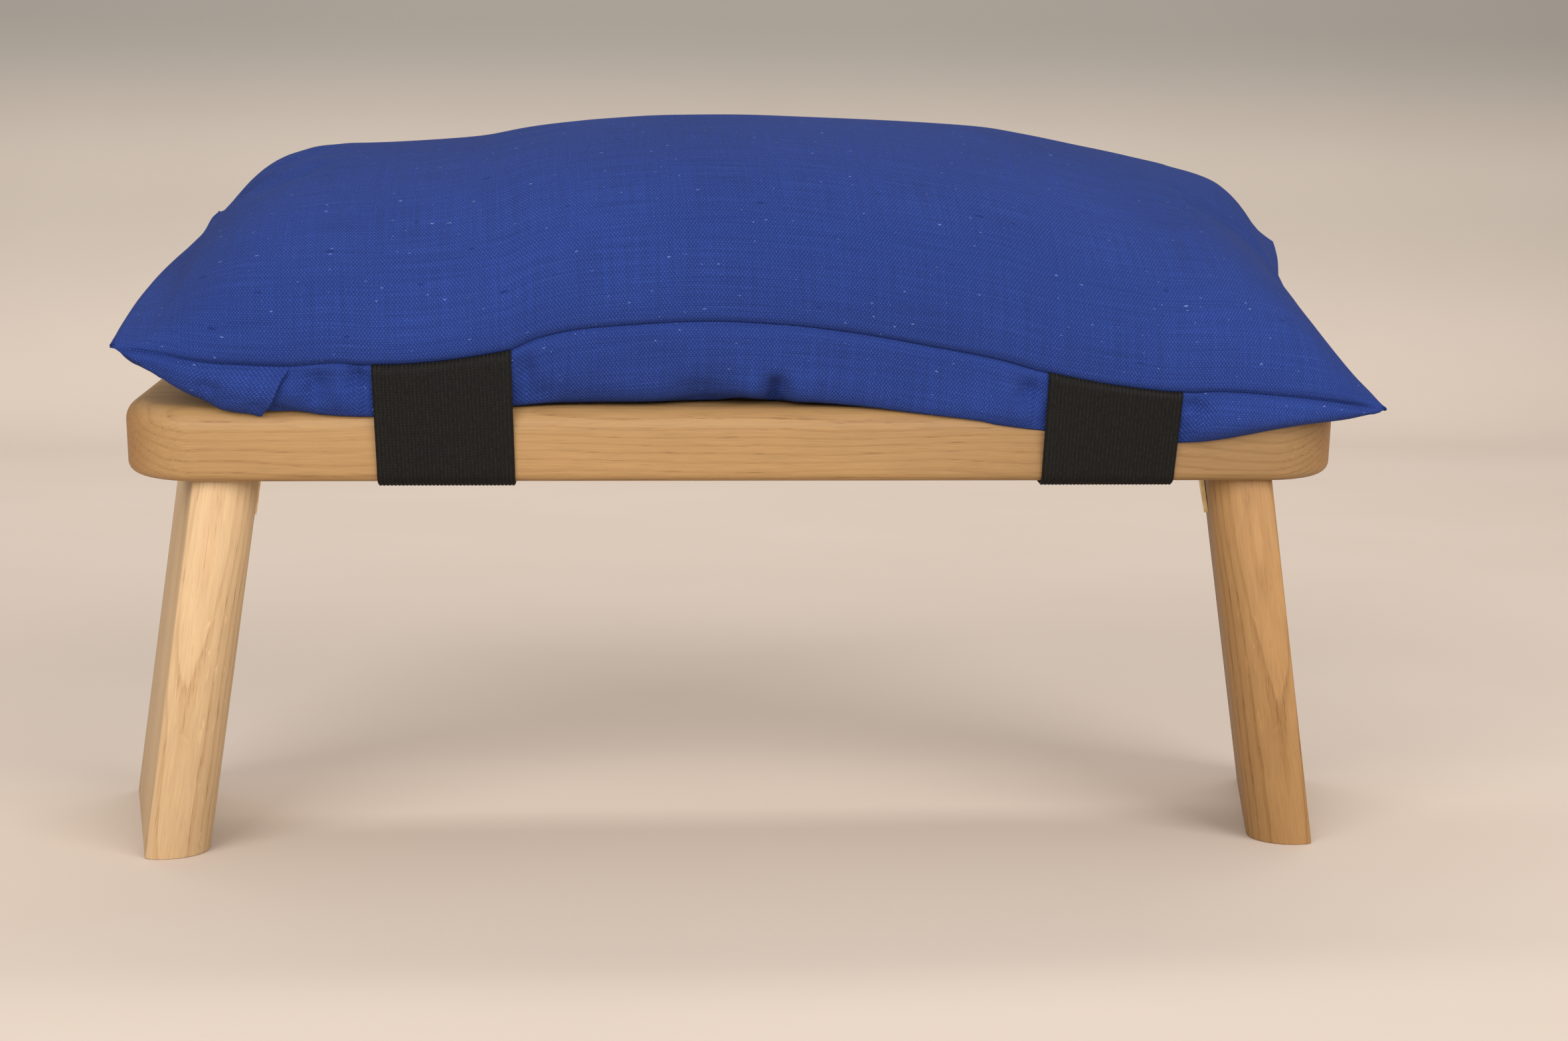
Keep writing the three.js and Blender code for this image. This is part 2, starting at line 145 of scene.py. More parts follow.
def make_piece(name, points, faces, smooth_angle=None):
    mesh = bpy.data.meshes.new(name)
    mesh.from_pydata([tuple(p) for p in points], [], [tuple(f) for f in faces])
    mesh.validate()
    mesh.update()
    piece = bpy.data.objects.new(name, mesh)
    bpy.context.scene.collection.objects.link(piece)
    smooth(piece, smooth_angle)
    return piece


def smooth(piece, angle=None):
    """Shades a piece smooth, but for edges sharper than the angle in degrees."""
    mesh = piece.data
    mesh.polygons.foreach_set("use_smooth", [True] * len(mesh.polygons))
    if angle is not None:
        mesh.set_sharp_from_angle(angle=math.radians(angle))


def ring_faces(rings, count):
    """Quads between neighbouring rings of count points each, and a face over either end."""
    faces = []
    for ring in range(rings - 1):
        for i in range(count):
            a, b = ring * count + i, ring * count + (i + 1) % count
            faces.append((a, b, b + count, a + count))
    faces.append(tuple(range(count))[::-1])
    faces.append(tuple(range((rings - 1) * count, rings * count)))
    return faces


def grid_faces(rows, columns, flip=False, first=0):
    """Quads of a grid of points that are numbered from first, row by row."""
    faces = []
    for r in range(rows - 1):
        for c in range(columns - 1):
            a = first + r * columns + c
            quad = (a, a + 1, a + columns + 1, a + columns)
            faces.append(quad[::-1] if flip else quad)
    return faces


def fix_normals(piece):
    work = bmesh.new()
    work.from_mesh(piece.data)
    bmesh.ops.recalc_face_normals(work, faces=work.faces)
    work.to_mesh(piece.data)
    work.free()


def bevel_arrises(piece, width):
    """Takes the sharpness off a piece's hard edges, as sanding does."""
    work = bmesh.new()
    work.from_mesh(piece.data)
    work.normal_update()
    limit = math.radians(HARD_ANGLE)
    hard = [e for e in work.edges if len(e.link_faces) == 2 and e.calc_face_angle() > limit]
    bmesh.ops.bevel(
        work, geom=hard, offset=width, segments=2, profile=0.5, affect="EDGES", clamp_overlap=True
    )
    work.to_mesh(piece.data)
    work.free()
    smooth(piece, WOOD_ANGLE)


def lay_grain(piece, origin, axes, along):
    """Stores the wood's own coordinates, the grain first, and how much end grain shows."""
    order = [along, *[i for i in range(3) if i != along]]
    local = (vertex_rows(piece) - origin) @ axes.T
    layer = piece.data.attributes.new("grain", "FLOAT_VECTOR", "POINT")
    layer.data.foreach_set("vector", local[:, order].ravel())
    ends = np.abs(vertex_rows(piece, "normal") @ axes[along])
    layer = piece.data.attributes.new("end_grain", "FLOAT", "POINT")
    layer.data.foreach_set("value", ends)


def lay_cloth(piece, coordinates):
    """Stores metres of cloth, one pair for each vertex, as the UVs of the weave."""
    layer = piece.data.uv_layers.new(name="cloth")
    loops = np.empty(len(piece.data.loops), int)
    piece.data.loops.foreach_get("vertex_index", loops)
    layer.data.foreach_set("uv", coordinates[loops].ravel())


# -------- material helpers


class Shader:
    """A procedural material and short ways to add its nodes."""

    def __init__(self, name, **constants):
        self.material = bpy.data.materials.new(name)
        self.material.use_nodes = True
        self.tree = self.material.node_tree
        self.surface = self.tree.nodes["Principled BSDF"]
        for socket, value in constants.items():
            self.surface.inputs[socket.replace("_", " ")].default_value = value

    def add(self, kind, output=0, settings=(), **inputs):
        """An output of a new node, whose inputs are given by name, or by number as i0, i1."""
        node = self.tree.nodes.new("ShaderNode" + kind)
        for key, value in dict(settings).items():
            setattr(node, key, value)
        for key, value in inputs.items():
            numbered = key[0] == "i" and key[1:].isdigit()
            socket = node.inputs[int(key[1:]) if numbered else key.replace("_", " ")]
            self.put(socket, value)
        return node.outputs[output]

    def put(self, socket, value):
        if isinstance(value, bpy.types.NodeSocket):
            self.tree.links.new(value, socket)
        else:
            socket.default_value = value

    def math(self, operation, first, second=0.0):
        return self.add("Math", settings={"operation": operation}, i0=first, i1=second)

    def times(self, first, second):
        return self.math("MULTIPLY", first, second)

    def plus(self, first, second):
        return self.math("ADD", first, second)

    def minus(self, first, second):
        return self.math("SUBTRACT", first, second)

    def vectors(self, operation, first, second):
        return self.add("VectorMath", settings={"operation": operation}, i0=first, i1=second)

    def noise(self, vector, scale, detail=2.0, roughness=0.5, output=0):
        """Noise at one scale, or at a scale for each axis. Output 1 is its colour."""
        if isinstance(scale, tuple):
            vector, scale = self.vectors("MULTIPLY", vector, scale), 1.0
        return self.add(
            "TexNoise", output, Vector=vector, Scale=scale, Detail=detail, Roughness=roughness
        )

    def band(self, value, low, high, to_low=0.0, to_high=1.0):
        """Goes smoothly from to_low to to_high as the value goes from low to high."""
        node = self.tree.nodes.new("ShaderNodeMapRange")
        node.interpolation_type = "SMOOTHSTEP"
        for i, entry in enumerate((value, low, high, to_low, to_high)):
            self.put(node.inputs[i], entry)
        return node.outputs[0]

    def mix(self, factor, first, second, blend="MIX"):
        node = self.tree.nodes.new("ShaderNodeMix")
        node.data_type, node.blend_type = "RGBA", blend
        self.put(node.inputs[0], factor)
        self.put(node.inputs[6], first)
        self.put(node.inputs[7], second)
        return node.outputs[2]

    def attribute(self, name, output="Vector"):
        node = self.tree.nodes.new("ShaderNodeAttribute")
        node.attribute_name = name
        return node.outputs[output]

    def parts(self, vector):
        node = self.tree.nodes.new("ShaderNodeSeparateXYZ")
        self.put(node.inputs[0], vector)
        return node.outputs

    def grey(self, value):
        return self.add("CombineXYZ", i0=value, i1=value, i2=value)

    def finish(self, color, roughness, height, depth, strength=1.0):
        """Gives the surface its colour, roughness and bump, whose depth is in metres."""
        bump = self.add("Bump", Height=height, Distance=depth, Strength=strength)
        self.put(self.surface.inputs["Base Color"], color)
        self.put(self.surface.inputs["Roughness"], roughness)
        self.put(self.surface.inputs["Normal"], bump)
        return self.material


def wear(piece, material):
    piece.data.materials.clear()
    piece.data.materials.append(material)


# -------- oak


def tinted(color, red, green, blue):
    """A colour with its channels multiplied."""
    return (color[0] * red, color[1] * green, color[2] * blue, 1)


def oak_material(name, pale, deep, ring_width, pith, wave, fleck, right_end_tone=1.0):
    """Oak from its growth rings round a pith line, with pores, ray flecks and end grain.

    pale and deep are the late and early wood, ring_width and pith are in metres, wave is how
    far the rings wander, fleck how strong the rays are, and the last argument the share of its
    brightness that the wood keeps towards its right end."""
    shader = Shader(name, Specular_IOR_Level=0.35)
    grain = shader.attribute("grain")
    ends = shader.attribute("end_grain", "Fac")
    x, y, z = shader.parts(grain)[:3]
    wander = shader.minus(shader.noise(grain, (4.0, 16.0, 16.0)), 0.5)
    ripple = shader.minus(shader.noise(grain, (18.0, 120.0, 120.0), detail=3.0), 0.5)
    across = shader.minus(y, pith[0])
    up = shader.minus(z, pith[1])
    radius = shader.math("SQRT", shader.plus(shader.times(across, across), shader.times(up, up)))
    radius = shader.plus(radius, shader.times(wander, wave))
    radius = shader.plus(radius, shader.times(ripple, ring_width * 0.9))
    rings = shader.math("FRACT", shader.math("DIVIDE", radius, ring_width))
    early = shader.band(rings, 0.0, 0.42, 1.0, 0.0)
    edge = shader.band(rings, 0.93, 1.0)
    early = shader.math("MAXIMUM", early, edge)
    blotch = shader.noise(grain, (7.0, 30.0, 30.0), detail=3.0)
    early = shader.times(early, shader.band(blotch, 0.25, 0.7, 0.35, 1.0))

    fibre = shader.noise(grain, (55.0, 1500.0, 1500.0), detail=3.0, roughness=0.6)
    pores = shader.noise(grain, (95.0, 2300.0, 2300.0), detail=1.0)
    pores = shader.band(pores, 0.59, 0.70)
    split = shader.noise(grain, (26.0, 900.0, 900.0), detail=1.0)
    split = shader.band(split, 0.66, 0.74)
    pores = shader.math("MAXIMUM", pores, shader.times(split, 0.5))
    pores = shader.times(pores, shader.band(early, 0.15, 0.8, 0.25, 1.0))
    rays = shader.noise(grain, (160.0, 420.0, 1100.0), detail=1.0)
    rays = shader.band(rays, 0.63, 0.76)
    patch = shader.band(shader.noise(grain, (14.0, 40.0, 40.0)), 0.45, 0.62)
    rays = shader.times(shader.times(rays, patch), fleck)

    color = shader.mix(early, pale, deep)
    tone = shader.band(blotch, 0.3, 0.72)
    color = shader.mix(shader.times(tone, 0.35), color, tinted(deep, 0.78, 0.78, 0.78))
    streak = shader.band(fibre, 0.3, 0.7, 0.94, 1.06)
    # Darker towards the right end, by the share given.
    streak = shader.times(streak, shader.band(x, 0.0, 0.16, 1.0, right_end_tone))
    color = shader.mix(1.0, color, shader.grey(streak), "MULTIPLY")
    color = shader.mix(rays, color, tinted(pale, 1.18, 1.14, 1.1))
    color = shader.mix(shader.times(pores, 0.56), color, tinted(deep, 0.42, 0.33, 0.25))
    cut = shader.band(ends, 0.45, 0.9)
    speckle = shader.noise(grain, (200.0, 1300.0, 1300.0))
    warm = shader.mix(
        shader.band(speckle, 0.4, 0.62),
        tinted(deep, 0.84, 0.68, 0.50),
        tinted(deep, 1.12, 1.02, 0.9),
    )
    color = shader.mix(shader.times(cut, 0.6), color, warm)

    rough = shader.band(fibre, 0.25, 0.75, 0.47, 0.6)
    height = shader.times(fibre, 0.3)
    height = shader.minus(height, shader.times(pores, 0.6))
    height = shader.minus(height, shader.times(early, 0.1))
    return shader.finish(color, rough, height, depth=0.0002, strength=0.6)


SEAT_OAK = oak_material(
    "oak_seat",
    pale=(0.345, 0.202, 0.080, 1),
    deep=(0.290, 0.157, 0.058, 1),
    ring_width=0.0026,
    pith=(0.055, -0.060),
    wave=0.020,
    fleck=0.35,
    right_end_tone=0.80,
)
LEG_OAK = {
    "left": oak_material(
        "oak_leg_pale",
        pale=(0.545, 0.375, 0.207, 1),
        deep=(0.448, 0.280, 0.136, 1),
        ring_width=0.0024,
        pith=(0.020, -0.160),
        wave=0.016,
        fleck=0.6,
    ),
    "right": oak_material(
        "oak_leg_warm",
        pale=(0.353, 0.196, 0.074, 1),
        deep=(0.268, 0.137, 0.044, 1),
        ring_width=0.0028,
        pith=(0.030, -0.140),
        wave=0.018,
        fleck=0.5,
    ),
}

# -------- seat board

CORNER_RADIUS = 30.0
TOP_ROUND = 8.0
BOTTOM_ROUND = 4.0
CORNER_STEPS, TOP_STEPS, BOTTOM_STEPS = 18, 12, 8
FLAT_MARGIN = 2.0  # a narrow ring between a round and the flat face, for clean shading


def board_outline(inset):
    """The board's plan, inset by a distance, from the front right corner anticlockwise."""
    radius = CORNER_RADIUS - inset
    reach = SEAT_LENGTH / 2 - CORNER_RADIUS
    front, back = CORNER_RADIUS, SEAT_DEPTH - CORNER_RADIUS
    centres = [(reach, front), (reach, back), (-reach, back), (-reach, front)]
    points = []
    for quarter, (x, y) in enumerate(centres):
        for i in range(CORNER_STEPS + 1):
            angle = math.radians(-90 + 90 * (quarter + i / CORNER_STEPS))
            points.append((x + radius * math.cos(angle), y + radius * math.sin(angle)))
    return points


def build_board():
    """The board as rings of its plan, each with its inset and height, from the underside up."""
    rings = [(BOTTOM_ROUND + FLAT_MARGIN, 0.0)]
    for i in range(BOTTOM_STEPS + 1):
        angle = math.radians(-90 + 90 * i / BOTTOM_STEPS)
        rise = BOTTOM_ROUND * (1 + math.sin(angle))
        rings.append((BOTTOM_ROUND * (1 - math.cos(angle)), rise))
    for i in range(TOP_STEPS + 1):
        angle = math.radians(90 * i / TOP_STEPS)
        rise = TOP_ROUND * (math.sin(angle) - 1)
        rings.append((TOP_ROUND * (1 - math.cos(angle)), SEAT_THICKNESS + rise))
    rings.append((TOP_ROUND + FLAT_MARGIN, SEAT_THICKNESS))
    points = [(x, y, height) for inset, height in rings for x, y in board_outline(inset)]
    faces = ring_faces(len(rings), len(board_outline(0)))
    piece = make_piece("seat_board_oak", from_seat(points), faces, WOOD_ANGLE)
    lay_grain(piece, SEAT_ORIGIN, SEAT_AXES, 0)
    wear(piece, SEAT_OAK)
    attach(piece, "root")
    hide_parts("seat_board")


build_board()

# -------- legs

LEG_NOSE_RADIUS = 15.0
LEG_NOSE_STEPS = 26
LEG_TOP_GAP = 0.05  # between a leg's top and the underside that it bears on
ARRIS = 0.55


def leg_section(thickness, depth):
    """(distance from the outer face, distance from the front arris) round the section."""
    across = thickness - LEG_NOSE_RADIUS
    along = math.sqrt(LEG_NOSE_RADIUS**2 - across**2)
    start = math.atan2(-along, -across) + 2 * math.pi
    front = []
    for i in range(LEG_NOSE_STEPS + 1):
        angle = start + (2 * math.pi - start) * i / LEG_NOSE_STEPS
        out, back = LEG_NOSE_RADIUS * math.cos(angle), LEG_NOSE_RADIUS * math.sin(angle)
        front.append((across + out, along + back))
    return front + [(a, depth - b) for a, b in reversed(front)]


def build_leg(side):
    """A plank that runs along the leg's axes from the floor to the underside of the board."""
    pin, axes = leg_frame(side)
    local = (vertex_rows(frame["nodes"][f"{side}_leg"]) - pin) @ axes.T / MM
    outer = local[:, 0].max()
    thickness = outer - local[:, 0].min()
    front, depth = local[:, 1].min(), np.ptp(local[:, 1])
    floor = (np.zeros(3), np.array([0, 0, 1.0]))
    underside = (SEAT_ORIGIN - SEAT_AXES[2] * LEG_TOP_GAP * MM, SEAT_AXES[2])
    section = leg_section(thickness, depth)
    points = []
    for place, normal in (floor, underside):
        for across, along in section:
            base = pin + (axes[0] * (outer - across) + axes[1] * (front + along)) * MM
            rise = (place - base) @ normal / (axes[2] @ normal)
            points.append(base + axes[2] * rise)
    piece = make_piece(f"{side}_leg_oak", points, ring_faces(2, len(section)))
    fix_normals(piece)
    bevel_arrises(piece, ARRIS * MM)
    lay_grain(piece, pin, axes, 2)
    wear(piece, LEG_OAK[side])
    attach(piece, f"{side}_leg_assembly")
    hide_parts(f"{side}_leg")


for side in SIDES:
    build_leg(side)

# -------- cushion shape

STRAP_WIDTH = 50.0
STRAP_THICKNESS = 1.5
STRAP_RIBS = 36
STRAP_PLACES = {"left": -108.5, "right": 136.4}
STRAP_CLEAR = 0.3  # between a strap and the board
STRAP_BACK_IN = 4.0  # how far inside the cushion's back a strap ends
CUSHION_LEFT = -226.0
CUSHION_RIGHT = 240.0
CUSHION_BACK = 181.0
BOARD_CLEAR = 0.5  # between the cushion and the board
CLOTH = 1.0

# The front seam: how far it stands out from the board's front, and its height, along X.
SEAM_OUT = curve(
    [(-226, 3.0), (-160, 3.4), (-110, 2.4), (-10, 1.5), (110, 4.0), (165, 6.0), (240, 8.0)]
)
SEAM_HEIGHT = curve(
    [
        (-226, 50.6), (-217, 48.9), (-208, 47.5), (-197, 45.2), (-185, 44.1),
        (-164, 43.5), (-148, 44.6), (-133, 43.9), (-85, 49.0), (-76, 53.0),
        (-60, 56.8), (-50, 57.9), (-11, 60.0), (15, 58.9), (41, 56.1),
        (68, 51.6), (95, 46.6), (113, 41.8), (140, 37.0), (162, 35.0),
        (179, 35.2), (203, 33.7), (220, 31.8), (240, 28.9),
    ]
)
# The lowest line of the cushion at the front, where it meets or hangs over the board.
FRONT_HEM = curve(
    [
        (-226, 47.5), (-210, 37.6), (-196, 30.2), (-186, 27.2), (-166, 25.5),
        (-134, 23.6), (-84, 28.0), (-63, 30.4), (-37, 30.8), (-11, 31.5),
        (1, 32.6), (16, 31.2), (42, 28.6), (69, 24.9), (96, 22.0),
        (111, 20.2), (140, 17.0), (162, 16.0), (172, 16.5), (205, 21.5),
        (223, 23.8), (240, 27.0),
    ]
)
BACK_SEAM = curve([(-226, 81.0), (-120, 74.0), (0, 71.0), (120, 70.0), (240, 71.0)])
# The ridge of the cushion, seen from the front.
CROWN = curve(
    [
        (-226, 66.9), (-218, 69.4), (-209, 73.7), (-200, 84.4), (-192, 93.2), (-184, 100.8),
        (-172, 107.9), (-159, 109.4), (-137, 110.6), (-112, 112.9), (-99, 114.9), (-87, 118.4),
        (-75, 121.5), (-54, 124.2), (-22, 127.0), (6, 127.6), (34, 126.8), (77, 124.7),
        (106, 122.2), (127, 118.1), (151, 112.6), (169, 108.7), (187, 104.0), (198, 99.2),
        (208, 91.4), (216, 82.3), (224, 72.2), (232, 60.7), (240, 52.3),
    ]
)
LEFT_SWELL = 6.0  # the left end bellies out near its front
RIGHT_PULL = 11.0  # the right end is drawn in between its corners
LEFT_TAPER = 9.0  # the left end slants in towards the back
RIGHT_FRONT, RIGHT_FLARE = 2.0, 4.0  # the right end starts further in and slants out
LEFT_EAR, RIGHT_EAR = 3.0, 5.5  # how far the back corners stand out to the sides
BACK_BOW = 5.0  # the back seam bows in at the middle
# Fullness added to the top: place along and across, height, and reach along and across.
FULLNESS = [
    (0.053, 0.790, 11.5, 0.042, 0.21),
    (0.967, 0.636, 15.3, 0.045, 0.22),
]
FRONT_ROLL, BACK_ROLL = 5.0, 4.0  # how far the top rolls out over its two long seams
BASE_FRONT = 0.16  # share of the underside that stands up in front of the board
BASE_BACK = 0.26
FRONT_IN, BACK_IN = 6.5, 34.0  # how far those two walls run in under the cushion
FRONT_BELLY, BACK_BELLY = 3.5, 3.0  # and how far they bulge


def cushion_point(along, around, upper):
    """A point of the cushion's top or underside, in millimetres in the seat frame, for along
    from 0 at the left end to 1 at the right, and around from 0 at the front seam to 1 at the
    back one."""
    x_mid = CUSHION_LEFT + (CUSHION_RIGHT - CUSHION_LEFT) * along
    share = (1 - np.cos(np.pi * around)) / 2
    to_end = np.abs(2 * along - 1)
    left = CUSHION_LEFT + LEFT_TAPER * share
    left = left - LEFT_SWELL * np.sin(np.pi * share) * (1 - share)
    left = left - LEFT_EAR * smoothstep(0.78, 0.98, share)
    right = CUSHION_RIGHT - RIGHT_FRONT + RIGHT_FLARE * share
    right = right - RIGHT_PULL * np.sin(np.pi * share)
    right = right + RIGHT_EAR * smoothstep(0.55, 0.9, share)
    x = left + (right - left) * along
    front = -SEAM_OUT(x_mid)
    back = CUSHION_BACK - BACK_BOW * (1 - to_end**2)
    seam_front, seam_back = SEAM_HEIGHT(x_mid), BACK_SEAM(x_mid)
    full = (1 - to_end**6) ** 0.6
    if upper:
        y = front + (back - front) * share
        seam = seam_front + (seam_back - seam_front) * share
        rise = CROWN(x_mid) - (seam_front + seam_back) / 2
        arch = np.sin(np.pi * around)
        corner = smoothstep(0.82, 0.97, to_end) * smoothstep(0.45, 0.8, around)
        z = seam + rise * arch ** (0.72 - 0.34 * corner)
        inside = (arch * (1 - to_end**12)) ** 0.5
        for at_along, at_share, height, reach_along, reach_share in FULLNESS:
            away = np.hypot((along - at_along) / reach_along, (share - at_share) / reach_share)
            z = z + height * np.exp(-(away**2)) * inside
        y = y - FRONT_ROLL * np.sin(np.pi * np.clip(around * 2.2, 0, 1)) * full
        y = y + BACK_ROLL * np.sin(np.pi * np.clip((1 - around) * 2.2, 0, 1)) * full
        return np.stack([x, y, z], -1)
    hem = FRONT_HEM(x_mid)
    rest = SEAT_THICKNESS + BOARD_CLEAR
    down = np.clip(around / BASE_FRONT, 0, 1) * np.pi / 2
    up = np.clip((1 - around) / BASE_BACK, 0, 1) * np.pi / 2
    flat = np.clip((around - BASE_FRONT) / (1 - BASE_FRONT - BASE_BACK), 0, 1)
    back_wall = back - BACK_IN * (1 - np.cos(up)) + BACK_BELLY * np.sin(2 * up)
    y = front + FRONT_IN * (1 - np.cos(down)) - FRONT_BELLY * np.sin(2 * down)
    y = y + (back - BACK_IN - front - FRONT_IN) * flat
    y = np.where(flat < 1, y, back_wall)
    settle = np.where(hem > rest, smoothstep(0.15, 0.55, flat), smoothstep(0.0, 0.25, flat))
    low = hem + (rest - hem) * settle
    z = seam_front + (low - seam_front) * np.sin(down)
    z = np.where(flat < 1, z, seam_back + (rest - seam_back) * np.sin(up))
    level = (y - front) / (back - front)
    seam = seam_front + (seam_back - seam_front) * level
    z = seam + (z - seam) * np.where(flat > 0, full, 1)
    y = y + (front + (back - front) * share - y) * (1 - full)
    return np.stack([x, y, z], -1)


OFF_BOARD = -1000.0


def board_surface(x, y):
    """Height of the board's upper surface under a point, or far below it off the board."""
    reach_x = SEAT_LENGTH / 2 - CORNER_RADIUS
    reach_y = SEAT_DEPTH / 2 - CORNER_RADIUS
    from_x, from_y = np.abs(x), np.abs(y - SEAT_DEPTH / 2)
    past_x, past_y = np.maximum(from_x - reach_x, 0), np.maximum(from_y - reach_y, 0)
    inside = np.minimum(reach_x - from_x, reach_y - from_y)
    corner = CORNER_RADIUS - np.hypot(past_x, past_y)
    edge = np.where((past_x > 0) | (past_y > 0), corner, CORNER_RADIUS + inside)
    into_round = np.clip(TOP_ROUND - np.clip(edge, 0, None), 0, TOP_ROUND)
    drop = TOP_ROUND - np.sqrt(TOP_ROUND**2 - into_round**2)
    return np.where(edge > 0, SEAT_THICKNESS - drop, OFF_BOARD)


CELLS_ALONG = 116
CELLS_AROUND = 52


def even_columns():
    """Places along the cushion that are evenly spaced over its ridge."""
    fine = np.linspace(0, 1, 2001)
    ridge = cushion_point(fine, np.full_like(fine, 0.5), True)
    steps = np.linalg.norm(np.diff(ridge, axis=0), axis=1)
    length = np.concatenate([[0], np.cumsum(steps)])
    return np.interp(np.linspace(0, length[-1], CELLS_ALONG + 1), length, fine)


def cushion_grids():
    """The top and the underside as grids of points, and which of them lie on the seam."""
    along = even_columns()[:, None] * np.ones(CELLS_AROUND + 1)
    around = np.ones((CELLS_ALONG + 1, 1)) * np.linspace(0, 1, CELLS_AROUND + 1)
    top = cushion_point(along, around, True)
    base = cushion_point(along, around, False)
    seam = np.zeros(top.shape[:2], bool)
    seam[[0, -1], :] = True
    seam[:, [0, -1]] = True
    base[seam] = top[seam]
    return top, base, seam


TOP, BASE, SEAM = cushion_grids()
PRESSURE_FRAMES = 20
PRESSURE_CAP = 7.0  # the furthest that the pressure may move a point
REST_SOFTNESS = 1.2
BESIDE_STRAP = 9.0  # over which the cover bulges out again beside a strap
BEHIND_FRONT, BEHIND_BACK = 1.3, 1.4  # how far the cover keeps behind a strap
TUCK_FRONT = (8.0, 16.0)  # depth over which a tuck in the front fades out
RIDGE_SHARE, RIDGE_PLACE = 0.25, 2.4  # a tuck's two ridges: their height and their place


def closed_cushion(top, base):
    """Points, faces and the places of the two grids in one closed mesh."""
    index_top = np.arange(top.shape[0] * top.shape[1]).reshape(top.shape[:2])
    index_base = index_top.copy()
    index_base[~SEAM] = index_top.size + np.arange((~SEAM).sum())
    points = np.concatenate([top.reshape(-1, 3), base[~SEAM]])
    faces = []
    for i in range(top.shape[0] - 1):
        for j in range(top.shape[1] - 1):
            ring = [(i, j), (i + 1, j), (i + 1, j + 1), (i, j + 1)]
            faces.append([index_top[place] for place in ring])
            faces.append([index_base[place] for place in reversed(ring)])
    return points, faces, index_top, index_base


def inflate(top, base):
    """Blows the closed cover up as cloth, with its seam held, and gives the new grids."""
    points, faces, index_top, index_base = closed_cushion(top, base)
    piece = make_piece("cushion_cloth", from_seat(points), faces)
    held = piece.vertex_groups.new(name="seam")
    held.add([int(i) for i in index_top[SEAM]], 1.0, "REPLACE")
    cloth = piece.modifiers.new("inflate", "CLOTH")
    settings = cloth.settings
    settings.quality = 6
    settings.mass = 0.3
    settings.tension_stiffness = 12
    settings.compression_stiffness = 12
    settings.shear_stiffness = 6
    settings.bending_stiffness = 0.4
    settings.vertex_group_mass = "seam"
    settings.use_pressure = True
    settings.uniform_pressure_force = 4.0
    settings.effector_weights.gravity = 0.0
    cloth.collision_settings.use_collision = False
    scene = bpy.context.scene
    cloth.point_cache.frame_start, cloth.point_cache.frame_end = 1, PRESSURE_FRAMES
    for number in range(1, PRESSURE_FRAMES + 1):
        scene.frame_set(number)
    evaluated = piece.evaluated_get(bpy.context.evaluated_depsgraph_get())
    moved = ((vertex_rows(evaluated) - SEAT_ORIGIN) @ SEAT_AXES.T) / MM
    scene.frame_set(1)
    bpy.data.objects.remove(piece)
    shift = moved - points
    length = np.linalg.norm(shift, axis=1, keepdims=True)
    shift *= np.tanh(length / PRESSURE_CAP) * PRESSURE_CAP / np.maximum(length, 1e-9)
    points = points + shift
    return points[index_top], points[index_base]


def rest_on_board(grid):
    """Lifts the underside out of the board, softly."""
    floor = board_surface(grid[..., 0], grid[..., 1]) + BOARD_CLEAR
    over = grid[..., 2] - floor
    lift = REST_SOFTNESS * np.log1p(np.exp(np.clip(over, -60, 60) / REST_SOFTNESS))
    touches = (floor > 0) & (over < 4 * REST_SOFTNESS)
    rested = grid.copy()
    rested[..., 2] = np.where(touches, floor + lift, grid[..., 2])
    return rested


def held_by_straps(grid):
    """Keeps the underside within the straps, front and back, so that it bulges beside them."""
    x, y, z = np.moveaxis(grid, -1, 0)
    back_end = CUSHION_BACK - STRAP_BACK_IN
    rise = np.clip((z - BOTTOM_ROUND) / (BACK_SEAM(x) - BOTTOM_ROUND), 0, 1)
    back = SEAT_DEPTH + (back_end - SEAT_DEPTH) * rise - BEHIND_BACK
    top, seam = SEAM_HEIGHT(x), -SEAM_OUT(x)
    drop = np.clip((top - z) / (top - BOTTOM_ROUND), 0, 1)
    front = seam + (STRAP_CLEAR - seam) * drop + BEHIND_FRONT
    pull = np.zeros_like(x)
    for centre in STRAP_PLACES.values():
        beside = np.abs(x - centre) - STRAP_WIDTH / 2
        pull = np.maximum(pull, 1 - smoothstep(0.0, BESIDE_STRAP, beside))
    push = np.maximum(front - y, 0) * (y < SEAT_DEPTH / 2)
    over = np.maximum(y - back, 0) * (y > SEAT_DEPTH / 2)
    held = grid.copy()
    held[..., 1] += (push - over) * pull
    return held


def crease(grid, x_at, z_at, depth, lift, reach_x, reach_z):
    """A pinched tuck in the front of the underside, with a low ridge on either side."""
    x, y, z = np.moveaxis(grid, -1, 0)
    front = 1 - smoothstep(*TUCK_FRONT, y)
    side = (x - x_at) / reach_x
    near = np.exp(-(((z - z_at) / reach_z) ** 2)) * front
    pinch = np.exp(-(side**2)) * near
    ridge = np.exp(-((np.abs(side) - RIDGE_PLACE) ** 2)) * near
    tucked = grid.copy()
    tucked[..., 1] += depth * (pinch - RIDGE_SHARE * ridge)
    tucked[..., 2] += lift * pinch
    return tucked


TOP, BASE = inflate(TOP, BASE)
BASE = np.where(SEAM[..., None], BASE, rest_on_board(BASE))
BASE = np.where(SEAM[..., None], BASE, held_by_straps(BASE))

# -------- cushion pieces


